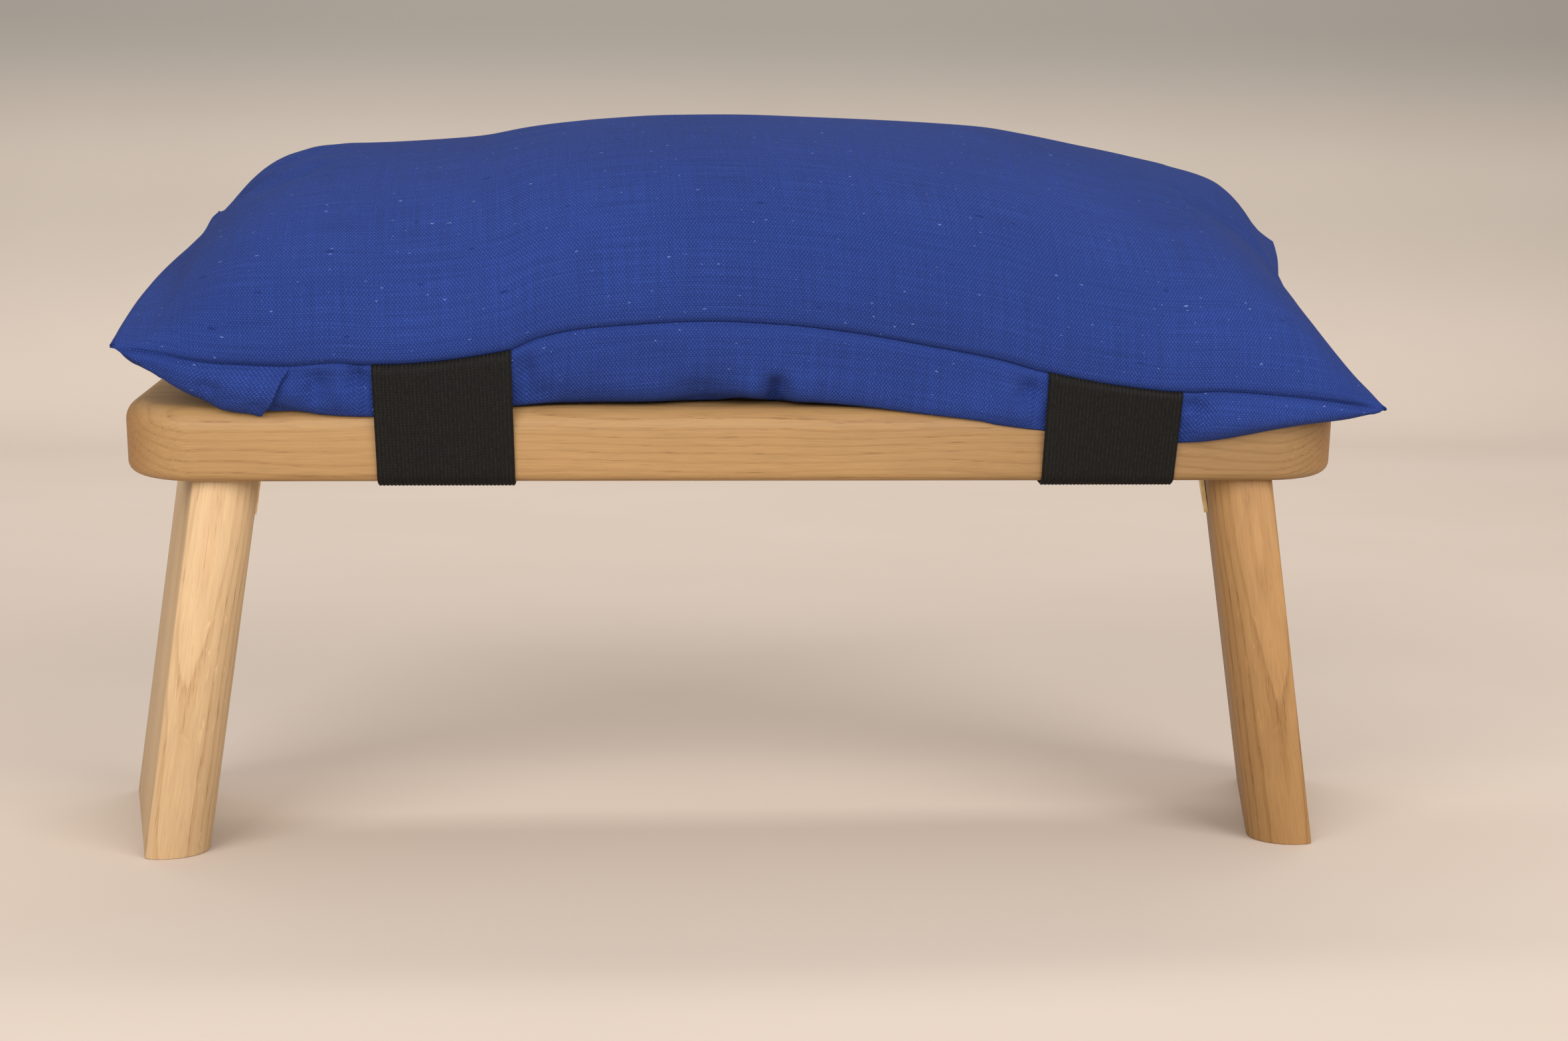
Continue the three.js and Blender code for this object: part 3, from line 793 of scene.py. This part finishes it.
def resample(grid, columns, rows):
    """Bicubic look-up of a grid at fractional columns and rows, given for every new point."""

    def weights(places, size):
        base = np.clip(np.floor(places).astype(int), 0, size - 2)
        t = places - base
        index = np.stack([base - 1, base, base + 1, base + 2], -1)
        index = np.clip(index, 0, size - 1)
        factor = np.stack(
            [
                (-t + 2 * t**2 - t**3) / 2,
                (2 - 5 * t**2 + 3 * t**3) / 2,
                (t + 4 * t**2 - 3 * t**3) / 2,
                (-(t**2) + t**3) / 2,
            ],
            -1,
        )
        return index, factor

    ci, cf = weights(columns, grid.shape[0])
    ri, rf = weights(rows, grid.shape[1])
    picked = grid[ci[..., :, None], ri[..., None, :]]
    return np.einsum("...ijk,...i,...j->...k", picked, cf, rf)


def fine_places(cells):
    """Places along a grid, two to a cell and closer together near its two ends."""
    inner = np.arange(2 * cells + 1) / 2
    near = np.array([0.08, 0.2, 0.34])
    return np.unique(np.concatenate([inner, near, cells - near]).round(5))


def unit(vectors):
    return vectors / np.maximum(np.linalg.norm(vectors, axis=-1, keepdims=True), 1e-9)


def build_cloth(name, grid, cloth_uv, upward, node):
    """One panel of the cover: its outer face from a grid, and thickness inwards."""
    columns, rows = grid.shape[:2]
    faces = grid_faces(columns, rows, flip=upward)
    piece = make_piece(name, from_seat(grid.reshape(-1, 3)), faces)
    lay_cloth(piece, cloth_uv.reshape(-1, 2))
    thick = piece.modifiers.new("thickness", "SOLIDIFY")
    thick.thickness = CLOTH * MM
    thick.offset = -1.0
    wear(piece, CANVAS)
    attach(piece, "root")
    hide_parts(node)


WARP_PITCH, WEFT_PITCH = 0.00062, 0.00088  # metres from thread to thread
THREAD_DRIFT = (0.0007, 0.00045, 0.0)  # how far the threads wander


def canvas_material():
    """Coarse plain-woven cotton canvas. The UVs are metres of cloth."""
    shader = Shader(
        "blue_canvas",
        Specular_IOR_Level=0.12,
        Sheen_Weight=0.03,
        Sheen_Roughness=0.5,
        Sheen_Tint=(0.35, 0.5, 1.0, 1),
    )
    uv = shader.add("UVMap", settings={"uv_map": "cloth"})
    drift = shader.vectors("SUBTRACT", shader.noise(uv, 420.0, output=1), (0.5, 0.5, 0.5))
    drift = shader.vectors("MULTIPLY", drift, THREAD_DRIFT)
    u, v = shader.parts(shader.vectors("ADD", uv, drift))[:2]
    warp = shader.math("COSINE", shader.times(u, math.pi / WARP_PITCH))
    weft = shader.math("COSINE", shader.times(v, math.pi / WEFT_PITCH))
    pebble = shader.times(warp, weft)
    raised_and_lit = shader.band(pebble, -0.35, 0.85)
    thread_v = shader.noise(uv, (28.0, 1150.0, 1.0))
    thread_u = shader.noise(uv, (1500.0, 26.0, 1.0))
    slub = shader.band(thread_v, 0.62, 0.8)
    fade = shader.noise(uv, (9.0, 9.0, 1.0), detail=3.0)
    fleck = shader.band(shader.noise(uv, (330.0, 800.0, 1.0), detail=1.0), 0.74, 0.8)
    knot = shader.band(shader.noise(uv, (160.0, 420.0, 1.0), detail=0.0), 0.2, 0.12)
    thick = shader.noise(uv, (420.0, 620.0, 1.0))
    raised_and_lit = shader.times(raised_and_lit, shader.band(thick, 0.25, 0.75, 0.55, 1.2))
    # The crests of the weave take the lighter blue and the hollows between threads the darker
    # one: painted light and painted shade over the weave, from the same pattern as its bump.
    color = shader.mix(raised_and_lit, (0.0124, 0.0292, 0.158, 1), (0.0300, 0.0660, 0.278, 1))
    tone = shader.band(thread_v, 0.25, 0.75, 0.89, 1.10)
    tone = shader.times(tone, shader.band(thread_u, 0.25, 0.75, 0.9, 1.1))
    tone = shader.times(tone, shader.band(fade, 0.3, 0.7, 0.93, 1.06))
    color = shader.mix(1.0, color, shader.grey(tone), "MULTIPLY")
    color = shader.mix(shader.times(slub, 0.25), color, (0.038, 0.083, 0.30, 1))
    color = shader.mix(shader.times(fleck, 0.5), color, (0.22, 0.32, 0.62, 1))
    color = shader.mix(shader.times(knot, 0.6), color, (0.006, 0.016, 0.10, 1))
    height = shader.plus(raised_and_lit, shader.times(thread_v, 0.5))
    height = shader.plus(height, shader.times(slub, 0.5))
    rough = shader.band(thread_u, 0.3, 0.7, 0.82, 0.95)
    return shader.finish(color, rough, height, depth=0.00035, strength=0.9)


CANVAS = canvas_material()


def arc_lengths(grid, axis):
    """How far each point of a grid lies from the first one of its row or column."""
    steps = np.linalg.norm(np.diff(grid, axis=axis), axis=-1)
    total = np.cumsum(steps, axis=axis)
    pad = [(0, 0), (0, 0)]
    pad[axis] = (1, 0)
    return np.pad(total, pad)


def cloth_coordinates(grid, mirrored=False):
    """Metres of cloth: along the cushion from its middle, and away from the front seam."""
    along = arc_lengths(grid, 0).mean(1, keepdims=True) * np.ones(grid.shape[1])
    along = along - along[len(along) // 2]
    away = arc_lengths(grid, 1) * (-1 if mirrored else 1)
    return np.stack([along, away], -1) * MM


def tuck_seam(grid, depth, width):
    """Draws the cloth in at the seam, so that the two panels roll into it."""
    middle = grid.shape[1] // 2
    inward = unit((grid[:, middle : middle + 1] - grid) * (1, 1, 0))
    sides = np.minimum(arc_lengths(grid, 1), arc_lengths(grid[:, ::-1], 1)[:, ::-1])
    ends = np.minimum(arc_lengths(grid, 0), arc_lengths(grid[::-1], 0)[::-1])
    calm = smoothstep(*CALM_TIPS, np.maximum(sides, ends))
    pull = depth * calm * np.exp(-((np.minimum(sides, ends) / width) ** 2))
    return grid + inward * pull[..., None]


CALM_TIPS = (2.0, 10.0)  # distance from a tip over which the tuck comes in
TOP_TUCK, BASE_TUCK = (1.5, 1.0), (1.9, 1.3)  # depth and width of the tuck at the seam
FLAP_SEAM_X = -163.0
UNDER_FLAP = 26.0  # how far the base panel runs on under the flap
FLAP_STEPS = 90
FLAP_LIFT, FLAP_CURL = 0.6, 0.7  # clear of the base panel, and more at the free edge
FLAP_CUT = (0.3, 0.0)  # metres of cloth between the flap's piece and the base panel's
# The flap's free edge: share of the way round the underside, and place along the board.
FLAP_EDGE = ([0.0, 0.16, 0.3, 0.8, 1.0], [FLAP_SEAM_X, -176.0, -182.0, -182.0, -175.0])
# Creases: place and height, depth and lift, and reach along and up.
CREASES = [
    (12.0, 33.0, 6.2, 2.6, 3.6, 5.5),
    (-16.0, 32.5, 3.0, 1.4, 9.0, 6.0),
    (-192.0, 36.0, 2.4, 0.0, 4.0, 5.0),
    (-154.0, 35.0, 4.4, 0.6, 3.6, 4.5),
    (-139.0, 40.0, 4.0, 0.0, 2.8, 3.6),
    (-79.0, 41.0, 2.8, 0.0, 2.6, 5.0),
    (105.0, 34.5, 4.4, 0.0, 3.4, 4.5),
    (167.0, 30.0, 4.4, 0.0, 3.2, 3.8),
]
WADDING_GAP = 4.0  # between the cover and the filling
WADDING_SCALE = (0.975, 0.92, 1.0)
PANEL_COLUMNS = fine_places(CELLS_ALONG)
PANEL_ROWS = fine_places(CELLS_AROUND)


def build_cushion():
    columns, rows = np.meshgrid(PANEL_COLUMNS, PANEL_ROWS, indexing="ij")
    top = tuck_seam(resample(TOP, columns, rows), *TOP_TUCK)
    top_uv = cloth_coordinates(top)
    build_cloth("cushion_top_canvas", top, top_uv, True, "cushion_top_panel")

    base = resample(BASE, columns, rows)
    for fold in CREASES:
        base = crease(base, *fold)
    base = tuck_seam(base, *BASE_TUCK)
    uv = cloth_coordinates(base, mirrored=True)
    start = int(np.searchsorted(base[:, 0, 0], FLAP_SEAM_X - UNDER_FLAP))
    build_cloth("cushion_base_canvas", base[start:], uv[start:], False, "cushion_base_panel")
    build_flap(base)
    build_filling()


def build_flap(base):
    """The short end panel, whose slanting free edge laps over the base panel."""
    free_edge = np.interp(PANEL_ROWS / CELLS_AROUND, *FLAP_EDGE)
    near_seam = base[:, 3, 0]
    last = np.interp(free_edge, near_seam, np.arange(len(near_seam)))
    steps = np.linspace(0, 1, FLAP_STEPS)
    columns = steps[:, None] * last
    rows = np.ones((len(steps), 1)) * np.arange(len(PANEL_ROWS))
    flap = resample(base, columns, rows)
    outward = unit(np.cross(np.gradient(base, axis=1), np.gradient(base, axis=0)))
    outward = resample(outward, columns, rows)
    lap = smoothstep(0.62, 0.8, steps) * (CLOTH + FLAP_LIFT)
    curl = smoothstep(0.93, 1.0, steps) * FLAP_CURL
    off_seam = smoothstep(0.5, 5.0, arc_lengths(flap, 1))
    flap = flap + outward * ((lap + curl)[:, None] * off_seam)[..., None]
    uv = cloth_coordinates(flap, mirrored=True) + FLAP_CUT
    build_cloth("cushion_flap_canvas", flap, uv, False, "cushion_end_flap")


def build_filling():
    """The filling, just inside the cover."""
    gap = np.linalg.norm(TOP - BASE, axis=-1, keepdims=True)
    share = np.clip(WADDING_GAP / np.maximum(gap, 1e-6), 0, 0.5)
    centre = ((TOP + BASE) / 2).mean((0, 1))
    top, base = TOP + (BASE - TOP) * share, BASE + (TOP - BASE) * share
    top, base = (centre + (grid - centre) * WADDING_SCALE for grid in (top, base))
    points, faces = closed_cushion(top, base)[:2]
    piece = make_piece("cushion_wadding", from_seat(points), [f[::-1] for f in faces])
    fix_normals(piece)
    shader = Shader("filling")
    place = shader.add("TexCoord", output=3)
    fluff = shader.noise(place, scale=900.0, detail=4.0)
    color = shader.mix(shader.band(fluff, 0.3, 0.7), (0.62, 0.58, 0.5, 1), (0.82, 0.78, 0.7, 1))
    wear(piece, shader.finish(color, 0.95, fluff, depth=0.001))
    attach(piece, "root")
    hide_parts("cushion_filling")


build_cushion()

# -------- straps

RIB_POINTS = 6
RIB_HEIGHT = 0.27
STITCH_PITCH = 0.00105  # metres
STRAP_LEAN = {"left": -0.8, "right": 0.6}  # how far the upper front ends lean
SEWN_IN = 1.3  # how far the front ends tuck into the seam
FRONT_SET, BACK_SET = 0.4, 0.6  # how far behind the front seam and below the back one
FRONT_STEPS, BEND_STEPS, UNDER_STEPS, BACK_STEPS = 24, 8, 16, 15


def elastic_material():
    """Knitted elastic, with a rib along it for every few threads of rubber."""
    shader = Shader("black_elastic", Specular_IOR_Level=0.2)
    uv = shader.add("UVMap", settings={"uv_map": "cloth"})
    u, v = shader.parts(uv)[:2]
    rib = STRAP_WIDTH * MM / STRAP_RIBS
    across = shader.times(u, 2 * math.pi / rib)
    # The ribs' crests get the lighter colour and the grooves between them nearly black: painted
    # light and painted shade over ribs that the mesh also has.
    lit_crest = shader.math("COSINE", across)
    lit_crest = shader.band(lit_crest, -0.3, 0.9, 0.12, 1.0)
    stitch = shader.plus(across, shader.times(v, 2 * math.pi / STITCH_PITCH))
    stitch = shader.math("SINE", stitch)
    thread = shader.noise(uv, (2600.0, 520.0, 1.0))
    light = shader.times(lit_crest, shader.band(stitch, -0.6, 1.0, 0.5, 1.0))
    light = shader.times(light, shader.band(thread, 0.3, 0.75, 0.2, 1.0))
    color = shader.mix(light, (0.0010, 0.0010, 0.0009, 1), (0.0230, 0.0192, 0.0148, 1))
    rough = shader.band(thread, 0.3, 0.7, 0.62, 0.85)
    height = shader.plus(shader.times(stitch, 0.35), thread)
    return shader.finish(color, rough, height, depth=0.00012, strength=0.7)


ELASTIC = elastic_material()


def bend_round(centre, radius, start, turn):
    """Points round one of the board's lower edges, from an angle through a turn."""
    angles = start + turn * np.arange(BEND_STEPS + 1) / BEND_STEPS
    return centre + radius * np.column_stack([np.cos(angles), np.sin(angles)])


def strap_path(x, outset):
    """(depth, height) down from the front seam, under the board and up to the back seam."""
    reach = BOTTOM_ROUND + STRAP_CLEAR + outset
    back_y = SEAT_DEPTH - BOTTOM_ROUND
    start = np.array([FRONT_SET - float(SEAM_OUT(x)) - outset, float(SEAM_HEIGHT(x))])
    bend = np.array([BOTTOM_ROUND - reach, BOTTOM_ROUND])
    down = np.arange(FRONT_STEPS)[:, None] / FRONT_STEPS
    front = start + (bend - start) * down
    front[:, 0] += SEWN_IN * (1 - smoothstep(0.0, 0.05, down[:, 0]))
    under_y = BOTTOM_ROUND + (back_y - BOTTOM_ROUND) * np.arange(1, UNDER_STEPS) / UNDER_STEPS
    under = np.column_stack([under_y, np.full(len(under_y), BOTTOM_ROUND - reach)])
    back_height = float(BACK_SEAM(x)) - BACK_SET
    end = np.array([CUSHION_BACK - STRAP_BACK_IN + outset, back_height])
    lean = math.atan2(end[0] - SEAT_DEPTH - outset, end[1])
    front_bend = bend_round((BOTTOM_ROUND, BOTTOM_ROUND), reach, math.pi, math.pi / 2)
    back_bend = bend_round((back_y, BOTTOM_ROUND), reach, 1.5 * math.pi, math.pi / 2 - lean)
    up = np.arange(1, BACK_STEPS + 1)[:, None] / BACK_STEPS
    back = back_bend[-1] + (end - back_bend[-1]) * up
    return np.concatenate([front, front_bend, under, back_bend, back])


def build_strap(side):
    """A strap as two grids, its ribbed outer face and its inner face, joined at the edges."""
    columns = STRAP_RIBS * RIB_POINTS + 1
    across = np.linspace(-1, 1, columns)
    ribs = np.abs(np.sin(np.linspace(0, STRAP_RIBS * math.pi, columns))) ** 0.7
    outer, inner = [], []
    for share, rib in zip(across, ribs):
        x = STRAP_PLACES[side] + share * STRAP_WIDTH / 2
        edge = 1 - smoothstep(0.975, 1.0, abs(share))
        outset = STRAP_THICKNESS * (0.5 + 0.25 * edge) + RIB_HEIGHT * rib
        for store, lift in ((outer, outset), (inner, STRAP_THICKNESS * 0.25 * (1 - edge))):
            path = strap_path(x, lift)
            xs = np.full(len(path), x)
            xs[:FRONT_STEPS] += np.linspace(1, 0, FRONT_STEPS) * STRAP_LEAN[side]
            store.append(np.column_stack([xs, path]))
    outer, inner = np.array(outer), np.array(inner)
    rows = outer.shape[1]
    points = np.concatenate([outer.reshape(-1, 3), inner.reshape(-1, 3)])
    count = columns * rows
    faces = grid_faces(columns, rows) + grid_faces(columns, rows, flip=True, first=count)
    for r in range(rows - 1):
        faces.append((r, r + 1, count + r + 1, count + r))
        last = (columns - 1) * rows + r
        faces.append((last + 1, last, count + last, count + last + 1))
    for c in range(columns - 1):
        a, b = c * rows, (c + 1) * rows
        faces.append((b, a, count + a, count + b))
        a, b = a + rows - 1, b + rows - 1
        faces.append((a, b, count + b, count + a))
    piece = make_piece(f"{side}_strap_elastic", from_seat(points), faces)
    fix_normals(piece)
    smooth(piece, STRAP_ANGLE)
    us = np.repeat((across * STRAP_WIDTH / 2)[:, None], rows, 1)
    one_face = (np.stack([us, arc_lengths(outer, 1)], -1) * MM).reshape(-1, 2)
    lay_cloth(piece, np.tile(one_face, (2, 1)))
    wear(piece, ELASTIC)
    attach(piece, "root")
    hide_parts(f"{side}_strap")


for side in SIDES:
    build_strap(side)

# -------- brass


def brass_material():
    shader = Shader("brass", Metallic=1.0)
    place = shader.add("TexCoord", output=3)
    brushed = shader.noise(place, (300.0, 40.0, 2500.0), detail=3.0)
    tarnish = shader.noise(place, scale=120.0, detail=3.0)
    dull = shader.band(tarnish, 0.35, 0.7)
    # Both brass colours are kept dark: painted shade, for hinge leaves that sit in shade under
    # the seat. The mix between them follows the tarnish noise.
    color = shader.mix(dull, (0.68, 0.50, 0.24, 1), (0.45, 0.31, 0.13, 1))
    rough = shader.band(brushed, 0.3, 0.7, 0.28, 0.44)
    return shader.finish(color, rough, brushed, depth=0.00003, strength=0.4)


BRASS = brass_material()
for name, node in frame["nodes"].items():
    if "hinge" in name or "screw" in name:
        wear(node, BRASS)

# -------- camera, floor and light

CAMERA_PLACE = (-0.041, -0.8805, 0.2227)
CAMERA_TURN = (4.03, 6.55, 0.32)  # degrees to the right, down, and of roll
LENS, SENSOR = 50.0, 36.0
SWEEP_FRONT, SWEEP_BEND, SWEEP_RADIUS, SWEEP_TOP = -5.0, 1.9, 0.9, 4.0
SWEEP_HALF_WIDTH = 6.0
BEND_PIECES = 20
LAMP_COLOR = (1.0, 0.97, 0.94)
BENCH = (0, 0, 0.1)
# Name, place, aim, size in metres and power in watts.
LAMPS = [
    ("front_left", (-1.1, -2.0, 1.2), BENCH, (1.6, 1.3), 36),
    ("front_right", (1.3, -1.9, 1.2), BENCH, (1.6, 1.3), 40),
    ("front_low", (-0.2, -2.6, 0.6), BENCH, (1.8, 0.8), 16),
    ("backdrop", (0.0, 1.2, 2.4), (0, 2.5, 0.3), (3.5, 0.8), 41),
]
SKY_COLOR, SKY_STRENGTH = (0.80, 0.76, 0.72, 1), 0.56


def add_camera():
    data = bpy.data.cameras.new("camera")
    data.lens, data.sensor_width = LENS, SENSOR
    camera = bpy.data.objects.new("camera", data)
    bpy.context.scene.collection.objects.link(camera)
    yaw, pitch, roll = (math.radians(a) for a in CAMERA_TURN)
    forward = Vector(
        (math.sin(yaw) * math.cos(pitch), math.cos(yaw) * math.cos(pitch), -math.sin(pitch))
    )
    level = Vector((math.cos(yaw), -math.sin(yaw), 0))
    upright = level.cross(forward)
    right = level * math.cos(roll) + upright * math.sin(roll)
    up = -level * math.sin(roll) + upright * math.cos(roll)
    turn = Matrix((right, up, -forward)).transposed().to_4x4()
    camera.matrix_world = Matrix.Translation(CAMERA_PLACE) @ turn
    bpy.context.scene.camera = camera


def add_floor():
    """A pale paper sweep: floor in front, curving up to a backdrop that falls into shade."""
    profile = [(SWEEP_FRONT, 0.0)]
    profile += [(float(y), 0.0) for y in np.linspace(SWEEP_FRONT + 1, SWEEP_BEND, 9)]
    for i in range(1, BEND_PIECES + 1):
        angle = math.radians(90 * i / BEND_PIECES)
        rise = SWEEP_RADIUS * (1 - math.cos(angle))
        profile.append((SWEEP_BEND + SWEEP_RADIUS * math.sin(angle), rise))
    profile.append((SWEEP_BEND + SWEEP_RADIUS, SWEEP_TOP))
    widths = np.linspace(-SWEEP_HALF_WIDTH, SWEEP_HALF_WIDTH, 9)
    points = [(x, y, z) for y, z in profile for x in widths]
    faces = grid_faces(len(profile), len(widths), flip=True)
    piece = make_piece("studio_sweep", points, faces)
    shader = Shader("studio_paper", Specular_IOR_Level=0.2)
    place = shader.add("TexCoord", output=3)
    height = shader.parts(place)[2]
    low_shade = shader.band(height, 0.02, 0.34, 0.0, 0.42)
    shade = shader.plus(low_shade, shader.band(height, 0.36, 0.64, 0.0, 0.5))
    mottle = shader.band(shader.noise(place, scale=3.0, detail=3.0), 0.3, 0.7)
    pale = shader.mix(mottle, (0.660, 0.570, 0.495, 1), (0.680, 0.590, 0.515, 1))
    color = shader.mix(shade, pale, (0.27, 0.26, 0.24, 1))
    tooth = shader.noise(place, scale=700.0)
    rough = shader.band(tooth, 0.3, 0.7, 0.8, 0.9)
    wear(piece, shader.finish(color, rough, tooth, depth=0.0001, strength=0.3))


def add_light(name, place, aim, size, power):
    data = bpy.data.lights.new(name, "AREA")
    data.shape = "RECTANGLE"
    data.size, data.size_y = size
    data.energy = power
    data.color = LAMP_COLOR
    light = bpy.data.objects.new(name, data)
    light.location = place
    light.rotation_euler = (Vector(aim) - Vector(place)).to_track_quat("-Z", "Y").to_euler()
    light.visible_camera = False
    bpy.context.scene.collection.objects.link(light)


def add_studio():
    add_floor()
    for lamp in LAMPS:
        add_light(*lamp)
    world = bpy.data.worlds.new("studio")
    bpy.context.scene.world = world
    world.use_nodes = True
    background = world.node_tree.nodes["Background"]
    background.inputs["Color"].default_value = SKY_COLOR
    background.inputs["Strength"].default_value = SKY_STRENGTH
    bpy.context.scene.view_settings.view_transform = "Standard"


add_camera()
add_studio()
